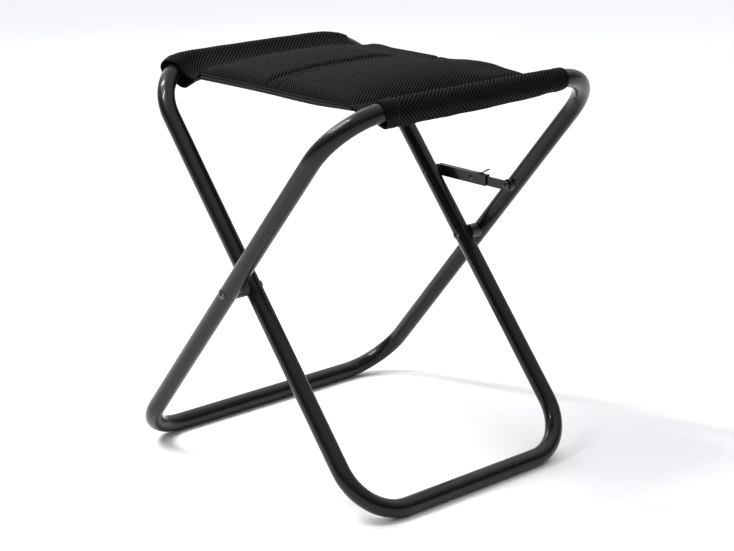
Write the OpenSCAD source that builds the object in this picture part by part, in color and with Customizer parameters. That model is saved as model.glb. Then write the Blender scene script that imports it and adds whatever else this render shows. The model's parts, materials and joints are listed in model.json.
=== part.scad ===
// Folding camp stool: two bent tube loops that cross on rivets, a locking side
// brace and a padded sling seat. +X runs from the inner loop's rail to the outer
// loop's rail, +Z is up, and the origin is on the floor under the seat's middle.

/* [Frame] */
// Distance from the pivot to each cross tube, along a leg
leg_half = 281; // [250:1:310]
// Lean of every leg from vertical when the stool stands open
lean = 40; // [34:0.5:44]
// Outside diameter of the frame tube
tube_d = 20; // [18:0.5:22]
// Wall thickness of the frame tube
tube_wall = 1.2; // [1:0.1:1.5]
// Middle of the stool to the outer loop's leg centre lines
outer_half_y = 190.5; // [185:0.5:210]
// Side gap between an outer leg and an inner leg
leg_gap = 12; // [12:0.5:16]
// Bend radius of the top corners, at the tube's centre line
top_bend = 66; // [50:1:70]
// Bend radius of the bottom corners, at the tube's centre line
foot_bend = 60; // [45:1:70]

/* [Rail joints] */
// Slit where the two ends of a bent tube meet
butt_slit = 0.4; // [0.2:0.1:1]
// Length of the ferrule inside each rail
ferrule_len = 70; // [50:1:90]
// Distance of each ferrule rivet from the slit
ferrule_rivet_y = 22; // [15:1:24]

/* [Pivot rivets] */
// Shank diameter of the hollow pivot rivets
pivot_d = 6; // [5:0.5:7]
// Hole through each pivot rivet
pivot_bore = 3.4; // [2.5:0.1:4]
// Diameter of the pivot rivet heads
pivot_head_d = 11; // [9:0.5:13]
// Height of the pivot rivet heads
pivot_head_h = 1.8; // [1.2:0.1:2.4]
// Diameter of the plastic spacers between the legs
spacer_d = 17; // [14:0.5:18]

/* [Side brace] */
// Distance from the pivot to the brace rivets, along a leg
brace_up = 86; // [75:1:100]
// Height of the flat bar
bar_h = 11; // [9:0.5:12]
// Thickness of the flat bar
bar_t = 3; // [2:0.5:3]
// Sheet thickness of the channel
channel_t = 1.2; // [1:0.1:1.5]
// Overall width of the channel
channel_w = 7.2; // [7:0.1:8]
// How far the channel runs past the middle rivet
channel_past = 25; // [18:1:30]
// Shank diameter of the brace rivets
brace_rivet_d = 4; // [3.5:0.5:4.5]
// Head diameter of the brace rivets
brace_head_d = 7.5; // [6.5:0.5:8]
// Diameter of the plastic spacers beside the brace
brace_spacer_d = 14; // [11:0.5:15]

/* [Seat] */
// Half of the seat's depth along the rails
seat_half_y = 125; // [110:1:126]
// Middle of the seat to the seam between a panel and its rail sleeve
seam_x = 126; // [115:1:135]
// Thickness of the fabric that wraps a rail
sleeve_t = 1.9; // [1.5:0.1:3]
// How far the loose underside of a sleeve hangs below its rail axis
sleeve_droop = 18.5; // [14:0.5:20]
// Width of the plain hem at each end of a sleeve
hem_w = 11; // [8:1:14]
// Middle of the seat to the top of each panel's crown
crown_x = 40; // [30:1:60]
// Top of a seat panel's crown, measured up from the rail axis
crown_top = 17; // [10:0.5:20]
// Top of a seat panel at its sleeve seam, measured from the rail axis
seam_top = -2.5; // [-5:0.5:0]
// Underside of the seat, measured down from the rail axis
seat_under = 10; // [8:0.5:14]
// Thickness of the spacer mesh on top of the seat
cover_t = 3; // [2:0.5:4]
// Thickness of the plain lining under the seat
lining_t = 1; // [0.6:0.1:1.5]
// Thickness of the cloth binding along the front and rear edges
binding_t = 1.4; // [1:0.1:2]

/* [Hidden] */
$fn = 64;

tube_r = tube_d / 2;
bore_r = tube_r - tube_wall;
inner_half_y = outer_half_y - leg_gap - tube_d;
pivot_z = tube_r + leg_half * cos(lean);
rail_x = leg_half * sin(lean);
rail_z = pivot_z + leg_half * cos(lean);

fit = 0.05;        // radial clearance of a rivet in its hole
skin_gap = 0.3;    // clearance between pieces on different bodies
layer_gap = 0.05;  // clearance between pieces of one body

inner_face_y = inner_half_y - tube_r;      // inner leg, side that faces the middle
inner_outside_y = inner_half_y + tube_r;   // inner leg, side that faces the gap
outer_inside_y = outer_half_y - tube_r;    // outer leg, side that faces the gap
outer_face_y = outer_half_y + tube_r;      // outer leg, outermost side

brace_x = brace_up * sin(lean);
brace_z = pivot_z + brace_up * cos(lean);
web_under = bar_h / 2 + 0.5;               // underside of the channel's web
channel_top = web_under + channel_t;
channel_foot = -bar_h / 2 - 0.5;           // lower edge of the channel's flanges
channel_y0 = inner_outside_y + 2.2;        // first face of the channel in the gap
channel_y1 = channel_y0 + channel_w;
bar_y0 = channel_y0 + (channel_w - bar_t) / 2;
bar_y1 = bar_y0 + bar_t;
brace_head_h = 1.3;
washer_d = 8.6;
tab_r = 26;                                // curl radius of the thumb tab
tab_angle = 42;
tab_x = 9;                                 // where the tab leaves the web
tab_w = 6;

sleeve_in_r = tube_r + skin_gap;
sleeve_out_r = sleeve_in_r + sleeve_t;
droop_r = 9;                               // radius of the sleeve's loose underside
low_centre = [-2, droop_r - sleeve_droop]; // its centre, from the rail axis
sleeve_half_y = seat_half_y - 0.5;
tail_len = rail_x - seam_x;                // rail axis to the panel seam
tail_sewn = 8;                             // width sewn flat beside the seam
corner_reach = 30;                         // the tail starts this far off a bent rail
hem_t = 0.7;
hem_cut = 3;                               // the hem stops this far inside the axis
left_sweep = asin((seat_half_y + 1 - (inner_half_y - top_bend)) / top_bend);
corner_start = layer_gap / top_bend * 180 / PI;

panel_in_x = 1;                            // panel edge at the centre seam
panel_out_x = seam_x - layer_gap;          // panel edge at the sleeve seam
crown_drop = crown_top - seam_top;
crown_r = (pow(panel_out_x - crown_x, 2) + pow(crown_drop, 2)) / (2 * crown_drop);
tape_w = 12;
tape_t = 0.8;

// ---------- placing helpers ----------

// Leg plane of one loop: x runs up the leg from the pivot, y across the stool.
// side is 1 for the outer loop, whose rail is at +X, and -1 for the inner loop.
module leg_plane(side)
{
    translate([0, 0, pivot_z])
        rotate([0, -90 + side * lean, 0])
            children();
}

// Puts something drawn along +Z on a line along +Y that starts at y
module along_y(x, y, z)
{
    translate([x, y, z])
        rotate([-90, 0, 0])
            children();
}

// Turns an outline drawn in X and Z into a slab from y0 to y1
module xz_slab(y0, y1)
{
    translate([0, y1, 0])
        rotate([90, 0, 0])
            linear_extrude(y1 - y0)
                children();
}

// ---------- tubes ----------

module tube_section(r_out, r_in)
{
    difference() {
        circle(r_out);
        circle(r_in);
    }
}

module corner_bend(x, y, radius, start, r_out, r_in)
{
    translate([x, y, 0])
        rotate([0, 0, start])
            rotate_extrude(angle = 90)
                translate([radius, 0])
                    tube_section(r_out, r_in);
}

// Closed loop of tube in the leg plane
module tube_loop(half_y, r_out, r_in)
{
    top_x = leg_half - top_bend;
    foot_x = leg_half - foot_bend;
    top_y = half_y - top_bend;
    foot_y = half_y - foot_bend;
    for (s = [0, 1])
        mirror([0, s, 0]) {
            corner_bend(top_x, top_y, top_bend, 0, r_out, r_in);
            corner_bend(-foot_x, foot_y, foot_bend, 90, r_out, r_in);
            translate([-foot_x, half_y, 0])
                rotate([0, 90, 0])
                    linear_extrude(top_x + foot_x)
                        tube_section(r_out, r_in);
        }
    translate([leg_half, -top_y, 0])
        rotate([-90, 0, 0])
            linear_extrude(2 * top_y)
                tube_section(r_out, r_in);
    translate([-leg_half, -foot_y, 0])
        rotate([-90, 0, 0])
            linear_extrude(2 * foot_y)
                tube_section(r_out, r_in);
}

// Hole across a leg for a rivet, in the leg plane
module leg_hole(x, y, d)
{
    translate([x, y - tube_d, 0])
        rotate([-90, 0, 0])
            cylinder(d = d, h = 2 * tube_d);
}

// Two holes or two pins for the ferrule rivets, on the tube's underside
module ferrule_pins(d, deep, out)
{
    for (s = [-1, 1])
        translate([leg_half, s * ferrule_rivet_y, -out])
            cylinder(d = d, h = out - deep);
}

module frame_tube(half_y)
{
    difference() {
        tube_loop(half_y, tube_r, bore_r);
        translate([leg_half - tube_d, -butt_slit / 2, -tube_d])
            cube([2 * tube_d, butt_slit, 2 * tube_d]);
        ferrule_pins(4 + 2 * fit, bore_r - 3, tube_r + 1);
        for (s = [-1, 1])
            leg_hole(0, s * half_y, pivot_d + 2 * fit);
        leg_hole(brace_up, half_y, brace_rivet_d + 2 * fit);
    }
}

module outer_frame_tube()
{
    color([0.07, 0.07, 0.075])
        leg_plane(1)
            frame_tube(outer_half_y);
}

module inner_frame_tube()
{
    color([0.07, 0.07, 0.075])
        leg_plane(-1)
            frame_tube(inner_half_y);
}

// Ferrule: a short tube that slides into both ends of the bent tube
ferrule_r = bore_r - 0.1;
ferrule_wall = 1.4;

module rail_ferrule(side)
{
    leg_plane(side)
        difference() {
            translate([leg_half, -ferrule_len / 2, 0])
                rotate([-90, 0, 0])
                    linear_extrude(ferrule_len)
                        tube_section(ferrule_r, ferrule_r - ferrule_wall);
            ferrule_pins(4 + 2 * fit, ferrule_r - 4, tube_r);
        }
}

module ferrule_rivets(side)
{
    leg_plane(side)
        ferrule_pins(4, ferrule_r - ferrule_wall - 1, tube_r - 0.25);
}

module outer_rail_ferrule() { color([0.6, 0.6, 0.62]) rail_ferrule(1); }
module inner_rail_ferrule() { color([0.6, 0.6, 0.62]) rail_ferrule(-1); }
module outer_ferrule_rivets() { color([0.5, 0.5, 0.52]) ferrule_rivets(1); }
module inner_ferrule_rivets() { color([0.5, 0.5, 0.52]) ferrule_rivets(-1); }

// ---------- rivets ----------

// Hollow rivet along +Z with a domed head under z = 0 and an equal one above h
module hollow_rivet(shank_d, bore_d, head_d, head_h, h, first = true, last = true)
{
    difference() {
        union() {
            cylinder(d = shank_d, h = h);
            if (first)
                rivet_head(head_d, head_h);
            if (last)
                translate([0, 0, h])
                    mirror([0, 0, 1])
                        rivet_head(head_d, head_h);
        }
        translate([0, 0, -head_h - 1])
            cylinder(d = bore_d, h = h + 2 * head_h + 2);
    }
}

// Domed head whose flat face is at z = 0
module rivet_head(d, h)
{
    dome_r = (d * d / 4 + h * h) / (2 * h);
    rotate_extrude()
        intersection() {
            translate([0, dome_r - h])
                circle(dome_r);
            translate([0, -h])
                square([d / 2, h]);
        }
}

module pivot_rivet()
{
    grip = outer_face_y - inner_face_y + 2 * fit;
    along_y(0, inner_face_y - fit, pivot_z)
        hollow_rivet(pivot_d, pivot_bore, pivot_head_d, pivot_head_h, grip);
}

module pivot_rivet_far() { color([0.16, 0.16, 0.17]) pivot_rivet(); }
module pivot_rivet_near() { color([0.16, 0.16, 0.17]) mirror([0, 1, 0]) pivot_rivet(); }

// Spacer: round, flat against the inner leg and saddled over the outer leg
module pivot_spacer()
{
    saddle = 3.5;
    difference() {
        along_y(0, inner_outside_y + skin_gap, pivot_z)
            cylinder(d = spacer_d, h = leg_gap - skin_gap + saddle);
        along_y(0, inner_outside_y - 1, pivot_z)
            cylinder(d = pivot_d + 0.4, h = leg_gap + 2 * saddle);
        leg_clearance();
    }
}

module pivot_spacer_far() { color([0.04, 0.04, 0.04]) pivot_spacer(); }
module pivot_spacer_near() { color([0.04, 0.04, 0.04]) mirror([0, 1, 0]) pivot_spacer(); }

// ---------- side brace ----------

// Flat bar from the outer leg to the middle rivet
module brace_bar()
{
    color([0.08, 0.08, 0.085])
        translate([0, 0, brace_z])
            xz_slab(bar_y0, bar_y1)
                difference() {
                    union() {
                        for (x = [0, brace_x])
                            translate([x, 0])
                                circle(d = bar_h);
                        translate([0, -bar_h / 2])
                            square([brace_x, bar_h]);
                    }
                    for (x = [0, brace_x])
                        translate([x, 0])
                            circle(d = brace_rivet_d + 2 * fit);
                }
}

// Side of the channel: a round end at the inner leg and a square end past the hinge
module channel_side_outline()
{
    end_r = (channel_top - channel_foot) / 2;
    mid = (channel_top + channel_foot) / 2;
    difference() {
        union() {
            translate([-brace_x, mid])
                circle(end_r);
            translate([-brace_x, channel_foot])
                square([brace_x + channel_past, 2 * end_r]);
        }
        for (x = [-brace_x, 0])
            translate([x, 0])
                circle(d = brace_rivet_d + 2 * fit);
    }
}

module brace_channel()
{
    color([0.08, 0.08, 0.085])
        translate([0, 0, brace_z]) {
            xz_slab(channel_y0, channel_y0 + channel_t)
                channel_side_outline();
            xz_slab(channel_y1 - channel_t, channel_y1)
                channel_side_outline();
            translate([-brace_x, channel_y0, web_under])
                cube([brace_x + channel_past, channel_w, channel_t]);
            thumb_tab();
        }
}

// Tongue of the web that curls up for the thumb
module thumb_tab()
{
    translate([tab_x, channel_y0 + (channel_w + tab_w) / 2, channel_top + tab_r - 0.3])
        rotate([90, 0, 0])
            rotate([0, 0, -90])
                rotate_extrude(angle = tab_angle)
                    translate([tab_r - channel_t, 0])
                        square([channel_t, tab_w]);
}

module brace_mid_rivet()
{
    color([0.16, 0.16, 0.17])
        along_y(0, channel_y0 - fit, brace_z)
            hollow_rivet(brace_rivet_d, 2.2, brace_head_d, brace_head_h, channel_w + 2 * fit);
}

module brace_washer(y0, y1, x, d)
{
    along_y(x, y0, brace_z)
        difference() {
            cylinder(d = d, h = y1 - y0);
            translate([0, 0, -1])
                cylinder(d = brace_rivet_d + 2 * fit, h = y1 - y0 + 2);
        }
}

module brace_mid_washers()
{
    color([0.5, 0.5, 0.52]) {
        brace_washer(channel_y0 + channel_t + fit, bar_y0 - fit, 0, washer_d);
        brace_washer(bar_y1 + fit, channel_y1 - channel_t - fit, 0, washer_d);
    }
}

module brace_outer_rivet()
{
    grip = outer_face_y - bar_y0 + 2 * fit;
    color([0.16, 0.16, 0.17])
        along_y(brace_x, bar_y0 - fit, brace_z)
            hollow_rivet(brace_rivet_d, 2.2, brace_head_d, brace_head_h, grip);
}

module brace_outer_spacer()
{
    color([0.04, 0.04, 0.04])
        difference() {
            brace_washer(bar_y1 + skin_gap, outer_inside_y + 2.5, brace_x, brace_spacer_d);
            leg_clearance();
        }
}

// The outer leg's outside, with the clearance that a spacer keeps from it
module leg_clearance()
{
    leg_plane(1)
        translate([-tube_d, outer_half_y, 0])
            rotate([0, 90, 0])
                cylinder(r = tube_r + layer_gap, h = brace_up + 3 * tube_d);
}

// The rivet on the inner leg is drawn as two halves that meet in the gap: the
// head half stays with the leg and the tail half stays with the channel.
module brace_inner_rivet_head()
{
    grip = inner_outside_y - inner_face_y + 2 * fit;
    color([0.16, 0.16, 0.17])
        along_y(-brace_x, inner_face_y - fit, brace_z)
            hollow_rivet(brace_rivet_d, 2.2, brace_head_d, brace_head_h, grip, last = false);
}

module brace_inner_rivet_tail()
{
    y0 = inner_outside_y + skin_gap + fit;
    color([0.16, 0.16, 0.17])
        along_y(-brace_x, y0, brace_z)
            hollow_rivet(brace_rivet_d, 2.2, brace_head_d, brace_head_h,
                         channel_y1 + fit - y0, first = false);
}

module brace_inner_spacer()
{
    color([0.04, 0.04, 0.04])
        brace_washer(inner_outside_y + skin_gap + fit, channel_y0 - fit, -brace_x,
                     brace_spacer_d);
}

// ---------- rail sleeves ----------

function round_point(centre, r, a) = centre + r * [cos(a), sin(a)];
function aim(from, to) = atan2(to[1] - from[1], to[0] - from[0]);
// Angle between the line from a circle's centre to a point and the radius to
// the place where a line through that point touches the circle
function touch(centre, r, point) = acos(r / norm(point - centre));

bite = 0.3;  // how far a straight side's corners reach into the circle it leaves

// Outline of a sleeve round its rail, seen along Y with the seat on the -X side:
// round over the tube and hanging loose below it. grow adds a layer outside.
module ring_outline(grow)
{
    r_top = sleeve_out_r + grow;
    r_low = droop_r + grow;
    down = aim([0, 0], low_centre);
    open = acos((r_top - r_low) / norm(low_centre));
    circle(r_top);
    translate(low_centre)
        circle(r_low);
    polygon([
        round_point([0, 0], r_top - bite, down - open),
        round_point(low_centre, r_low - bite, down - open),
        round_point(low_centre, r_low - bite, down + open),
        round_point([0, 0], r_top - bite, down + open)
    ]);
}

// Height at x of the line through two points
function line_at(a, b, x) = a[1] + (b[1] - a[1]) * (x - a[0]) / (b[0] - a[0]);

tail_top = [-tail_len, seam_top];
tail_low = [-tail_len, -seat_under];
top_leave = round_point([0, 0], sleeve_out_r - bite,
    aim([0, 0], tail_top) - touch([0, 0], sleeve_out_r - bite, tail_top));
low_leave = round_point(low_centre, droop_r - bite,
    aim(low_centre, tail_low) + touch(low_centre, droop_r - bite, tail_low));

// The flat tail that runs from the ring to the panel seam
module tail_outline()
{
    polygon([top_leave, tail_top, tail_low, low_leave, low_centre, [0, 0]]);
}

// The space between the tail's two layers of fabric
module tail_hollow()
{
    x0 = tail_sewn - tail_len;
    x1 = -sleeve_out_r - sleeve_t;
    polygon([
        [x0, line_at(tail_top, top_leave, x0) - sleeve_t],
        [x0, line_at(tail_low, low_leave, x0) + sleeve_t],
        [x1, line_at(tail_low, low_leave, x1) + sleeve_t],
        [x1, line_at(tail_top, top_leave, x1) - sleeve_t]
    ]);
}

// The whole sleeve in section: a loop of fabric round the rail, with a hollow tail
module sleeve_section()
{
    difference() {
        union() {
            ring_outline(0);
            tail_outline();
        }
        circle(sleeve_in_r);
        tail_hollow();
    }
}

// The tail alone, from a distance off the rail axis to the seam
module tail_section(from)
{
    intersection() {
        sleeve_section();
        translate([-tail_len, -tail_len])
            square([tail_len - from, 2 * tail_len]);
    }
}

module at_rail(side)
{
    mirror([side < 0 ? 1 : 0, 0, 0])
        translate([rail_x, 0, rail_z])
            children();
}

// Bent stretch of the left sleeve, which follows the inner loop's top corner.
// It turns about the corner's axis, from angle a0 to angle a1.
module along_corner(a0, a1)
{
    leg_plane(-1)
        translate([leg_half - top_bend, inner_half_y - top_bend, 0])
            rotate([0, 0, a0])
                rotate_extrude(angle = a1 - a0)
                    translate([top_bend, 0])
                        rotate([0, 0, 90 - lean])
                            mirror([0, 1])
                                children();
}

module hem_section()
{
    difference() {
        ring_outline(hem_t);
        ring_outline(0.02);
    }
}

module rail_sleeve_right()
{
    color([0.09, 0.1, 0.09])
        at_rail(1)
            xz_slab(-sleeve_half_y, sleeve_half_y)
                sleeve_section();
}

module rail_sleeve_left()
{
    straight = inner_half_y - top_bend;
    color([0.09, 0.1, 0.09])
        at_rail(-1) {
            xz_slab(-straight, straight)
                sleeve_section();
            xz_slab(-sleeve_half_y, sleeve_half_y)
                tail_section(corner_reach);
        }
}

// The sleeve's two ends, which follow the tube round the corners
module sleeve_corners_left()
{
    color([0.09, 0.1, 0.09])
        both_ends()
            along_corner(corner_start, left_sweep)
                difference() {
                    ring_outline(0);
                    circle(sleeve_in_r);
                }
}

module both_ends()
{
    for (s = [0, 1])
        mirror([0, s, 0])
            children();
}

module sleeve_hems_right()
{
    color([0.05, 0.05, 0.05])
        both_ends()
            at_rail(1)
                xz_slab(sleeve_half_y - hem_w, sleeve_half_y)
                    intersection() {
                        hem_section();
                        translate([-hem_cut, -tail_len])
                            square([hem_cut + tail_len, 2 * tail_len]);
                    }
}

module sleeve_hems_left()
{
    hem_angle = hem_w / top_bend * 180 / PI;
    color([0.05, 0.05, 0.05])
        both_ends()
            along_corner(left_sweep - hem_angle, left_sweep)
                hem_section();
}

// ---------- seat panels, drawn for the right half ----------

// Outline of a panel between two heights: its top is an arc inset from the crown
module panel_outline(inset, z0)
{
    intersection() {
        translate([crown_x, rail_z + crown_top - crown_r])
            circle(crown_r - inset, $fn = 256);
        translate([panel_in_x, z0])
            square([panel_out_x - panel_in_x, rail_z + crown_top - z0]);
    }
}

under_z = rail_z - seat_under;

module seat_cover()
{
    xz_slab(-seat_half_y + binding_t, seat_half_y - binding_t)
        difference() {
            panel_outline(0, under_z + lining_t + layer_gap);
            translate([crown_x, rail_z + crown_top - crown_r])
                circle(crown_r - cover_t, $fn = 256);
        }
}

module seat_foam()
{
    xz_slab(-seat_half_y + 2 * binding_t, seat_half_y - 2 * binding_t)
        panel_outline(cover_t + layer_gap, under_z + lining_t + layer_gap);
}

module seat_lining()
{
    translate([panel_in_x, -seat_half_y + binding_t, under_z])
        cube([panel_out_x - panel_in_x, 2 * (seat_half_y - binding_t), lining_t]);
}

module binding_rear()
{
    xz_slab(seat_half_y - binding_t + layer_gap, seat_half_y + layer_gap)
        panel_outline(0, under_z);
}

module left_half() { mirror([1, 0, 0]) children(); }
module front_half() { mirror([0, 1, 0]) children(); }

module seat_cover_right() { color([0.1, 0.11, 0.1]) seat_cover(); }
module seat_foam_right() { color([0.3, 0.3, 0.3]) seat_foam(); }
module seat_lining_right() { color([0.04, 0.04, 0.04]) seat_lining(); }
module seat_cover_left() { color([0.1, 0.11, 0.1]) left_half() seat_cover(); }
module seat_foam_left() { color([0.3, 0.3, 0.3]) left_half() seat_foam(); }
module seat_lining_left() { color([0.04, 0.04, 0.04]) left_half() seat_lining(); }
module binding_rear_right() { color([0.05, 0.05, 0.05]) binding_rear(); }
module binding_front_right() { color([0.05, 0.05, 0.05]) front_half() binding_rear(); }
module binding_rear_left() { color([0.05, 0.05, 0.05]) left_half() binding_rear(); }
module binding_front_left() { color([0.05, 0.05, 0.05]) left_half() front_half() binding_rear(); }

// Tape sewn under the centre seam, where the two panels meet
module centre_seam_tape()
{
    color([0.04, 0.04, 0.04])
        translate([-tape_w / 2, -seat_half_y, under_z - layer_gap - tape_t])
            cube([tape_w, 2 * seat_half_y, tape_t]);
}

outer_frame_tube();
outer_rail_ferrule();
outer_ferrule_rivets();
inner_frame_tube();
inner_rail_ferrule();
inner_ferrule_rivets();
pivot_rivet_near();
pivot_rivet_far();
pivot_spacer_near();
pivot_spacer_far();
brace_bar();
brace_outer_rivet();
brace_outer_spacer();
brace_channel();
brace_mid_rivet();
brace_mid_washers();
brace_inner_rivet_head();
brace_inner_rivet_tail();
brace_inner_spacer();
rail_sleeve_right();
rail_sleeve_left();
sleeve_corners_left();
sleeve_hems_right();
sleeve_hems_left();
seat_cover_right();
seat_foam_right();
seat_lining_right();
seat_cover_left();
seat_foam_left();
seat_lining_left();
binding_front_right();
binding_rear_right();
binding_front_left();
binding_rear_left();
centre_seam_tape();
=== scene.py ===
"""Folding camp stool: fabric, stitches, materials, floor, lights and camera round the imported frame.

The frame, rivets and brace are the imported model's own parts. This script replaces the stiff
seat solids with padded panels, sewn sleeves, hems, bindings, a lining and a tape. Shapes are
worked out in millimetres and put into meshes in metres. X runs across the seat, Y along the rails.
"""
import json
import math

import bpy
import numpy as np
from mathutils import Matrix, Vector

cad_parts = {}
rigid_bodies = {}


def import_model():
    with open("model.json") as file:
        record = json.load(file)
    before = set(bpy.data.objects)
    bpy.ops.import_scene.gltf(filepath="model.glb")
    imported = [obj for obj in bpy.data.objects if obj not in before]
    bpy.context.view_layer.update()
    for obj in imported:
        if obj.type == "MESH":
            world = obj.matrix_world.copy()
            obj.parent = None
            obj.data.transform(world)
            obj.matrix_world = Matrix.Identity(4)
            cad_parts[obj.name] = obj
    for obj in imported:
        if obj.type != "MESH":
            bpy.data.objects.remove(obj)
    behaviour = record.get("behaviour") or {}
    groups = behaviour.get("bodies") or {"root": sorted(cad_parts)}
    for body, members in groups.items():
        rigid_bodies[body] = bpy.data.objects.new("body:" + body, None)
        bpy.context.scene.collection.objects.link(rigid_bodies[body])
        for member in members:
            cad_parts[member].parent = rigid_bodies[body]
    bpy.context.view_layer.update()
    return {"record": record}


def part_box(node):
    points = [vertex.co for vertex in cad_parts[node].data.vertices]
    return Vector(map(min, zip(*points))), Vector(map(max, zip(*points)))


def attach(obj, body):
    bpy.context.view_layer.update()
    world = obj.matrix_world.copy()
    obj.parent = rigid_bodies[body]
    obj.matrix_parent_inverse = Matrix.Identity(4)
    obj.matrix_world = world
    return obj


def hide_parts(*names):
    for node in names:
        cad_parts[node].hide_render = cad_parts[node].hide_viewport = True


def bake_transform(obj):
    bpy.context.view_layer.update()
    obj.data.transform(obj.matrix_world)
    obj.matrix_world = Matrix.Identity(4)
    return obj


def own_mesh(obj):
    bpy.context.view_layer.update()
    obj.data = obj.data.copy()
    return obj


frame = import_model()

MM = 0.001
SIDES = {"right": 1, "left": -1}
SEAT_BODY = {"right": "seat_right", "left": "seat_left"}

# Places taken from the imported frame, in millimetres
rail_lo, rail_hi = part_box("outer_rail_ferrule")
RAIL_X = (rail_lo.x + rail_hi.x) / 2 / MM
RAIL_Z = (rail_lo.z + rail_hi.z) / 2 / MM
SEAM_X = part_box("seat_cover_right")[1].x / MM
HALF_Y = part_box("centre_seam_tape")[1].y / MM
UNDER_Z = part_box("seat_lining_right")[0].z / MM

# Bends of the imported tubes: the legs' lean, how far each rail is straight from the middle,
# and the radius in which it then bends down to its legs
LEAN = math.radians(40)
STRAIGHT_Y = {1: 124.5, -1: 92.5}
BEND_R = 66.0

# Seat panel: the edge that its top falls to, the round edge at front and rear, the stitched
# line beside the centre seam, the cloth below the padding, and how the swelling is limited
EDGE_Z = RAIL_Z - 2.5
EDGE_FLAT_Y = HALF_Y - 9.6
EDGE_ROLL = 10.6
ROLL_HIGH = 7.4
SEAM_LINE_X = 8.6
PAD_FLOOR = 1.1
CROWN_START = 0.85
PUFF_CAP = 5.0

# Sleeve: outer radius over the rail and cloth thickness on each side, and where it ends.
# The near ends run a little way round the bends of the rails.
RING_R = {1: 12.4, -1: 11.8}
SLEEVE_T = {1: 1.7, -1: 1.4}
SLEEVE_ENDS = {1: (-HALF_Y - 10.5, HALF_Y - 0.5), -1: (-HALF_Y - 5.5, HALF_Y + 1.0)}
SLACK_R = 9.0

# Hem: its width by side and end, how far it passes the sleeve's end, where its stitches run
# from the cut edge, how far they lie above the sleeve, and the cloth's height from end to edge
HEM_W = {(1, -1): 15.0, (1, 1): 11.0, (-1, -1): 11.0, (-1, 1): 11.0}
HEM_PAST = 0.7
HEM_LINE = 1.6
HEM_THREAD_UP = 0.36
HEM_SWELL = np.concatenate([(0.12, 0.26, 0.32, 0.34), np.linspace(0.34, 0.26, 6), (0.2, 0.1)])

# Binding: its lower edge at the centre seam, and its upper edge
BAND_LOW = UNDER_Z - 0.417
BAND_TOP = EDGE_Z + 0.6

# Thread: length of a stitch, gap to the next one, radius, and its taper from end to end
STITCH_LONG = 3.1
STITCH_GAP = 0.9
STITCH_R = 0.26
STITCH_TAPER = (0.35, 0.9, 1.0, 0.9, 0.35)
STITCH_SIDES = 6

# Knit, in metres: one cell's size across the seat and along the rails, and the width over
# which the leading ribs change. RIB is how deep the furrows between them are, as a share of
# the holes. The sleeves' cells are stretched round the rail: 1 mm of cloth has 0.74 mm of knit.
CELL_X = 0.0033
CELL_Y = 0.0052
RIB_TURN = 0.004
RIB = 0.66
SLEEVE_KNIT = 0.74


# ---------------------------------------------------------------- mesh helpers

def add_mesh(name, points, faces, material, uv=None):
    """One smooth-shaded mesh object; points are in millimetres, uv in metres."""
    mesh = bpy.data.meshes.new(name)
    mesh.from_pydata((np.asarray(points, float) * MM).tolist(), [], faces)
    if uv is not None:
        layer = mesh.uv_layers.new(name="weave")
        loops = np.empty(len(mesh.loops), dtype=np.int32)
        mesh.loops.foreach_get("vertex_index", loops)
        layer.data.foreach_set("uv", np.asarray(uv, np.float32)[loops].ravel())
    mesh.shade_smooth()
    mesh.materials.append(material)
    piece = bpy.data.objects.new(name, mesh)
    bpy.context.scene.collection.objects.link(piece)
    return piece


def grid_faces(rows, cols, first=0, flip=False):
    """Quads over a grid of rows by cols points, numbered from first."""
    faces = []
    for r in range(rows - 1):
        for c in range(cols - 1):
            a = first + r * cols + c
            quad = (a, a + 1, a + cols + 1, a + cols)
            faces.append(quad[::-1] if flip else quad)
    return faces


def shell_faces(rows, cols, flip=False):
    """A closed skin from an outer grid and an inner grid, joined round their four edges."""
    n = rows * cols
    faces = grid_faces(rows, cols, 0, flip) + grid_faces(rows, cols, n, not flip)
    rim = list(range(cols))
    rim += [r * cols + cols - 1 for r in range(1, rows)]
    rim += [(rows - 1) * cols + c for c in range(cols - 2, -1, -1)]
    rim += [r * cols for r in range(rows - 2, 0, -1)]
    for a, b in zip(rim, rim[1:] + rim[:1]):
        quad = (a, a + n, b + n, b)
        faces.append(quad[::-1] if flip else quad)
    return faces


def add_shell(name, outer, inner, material, uv, flip=False):
    """A closed thin piece between two grids of points with shape (rows, cols, 3)."""
    rows, cols = outer.shape[:2]
    points = np.concatenate([outer.reshape(-1, 3), inner.reshape(-1, 3)])
    both = np.concatenate([uv.reshape(-1, 2)] * 2)
    return add_mesh(name, points, shell_faces(rows, cols, flip), material, both)


def run_along(path):
    """Running length at each point of a path."""
    return np.concatenate([[0.0], np.cumsum(np.linalg.norm(np.diff(path, axis=0), axis=1))])


def add_tube(name, rings, material, flip=False):
    """A closed loft through section points with shape (rows, cols, 3)."""
    rows, cols = rings.shape[:2]
    faces = []
    for r in range(rows - 1):
        for c in range(cols):
            a, b = r * cols + c, r * cols + (c + 1) % cols
            quad = (a, b, b + cols, a + cols)
            faces.append(quad[::-1] if flip else quad)
    first = list(range(cols))
    last = [(rows - 1) * cols + c for c in range(cols)]
    faces.append(first if flip else first[::-1])
    faces.append(last[::-1] if flip else last)
    along = run_along(rings.mean(1))[:, None]
    around = run_along(rings[0])[None, :]
    uv = np.stack(np.broadcast_arrays(along, around), -1).reshape(-1, 2)
    return add_mesh(name, rings.reshape(-1, 3), faces, material, uv * MM)


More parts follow.
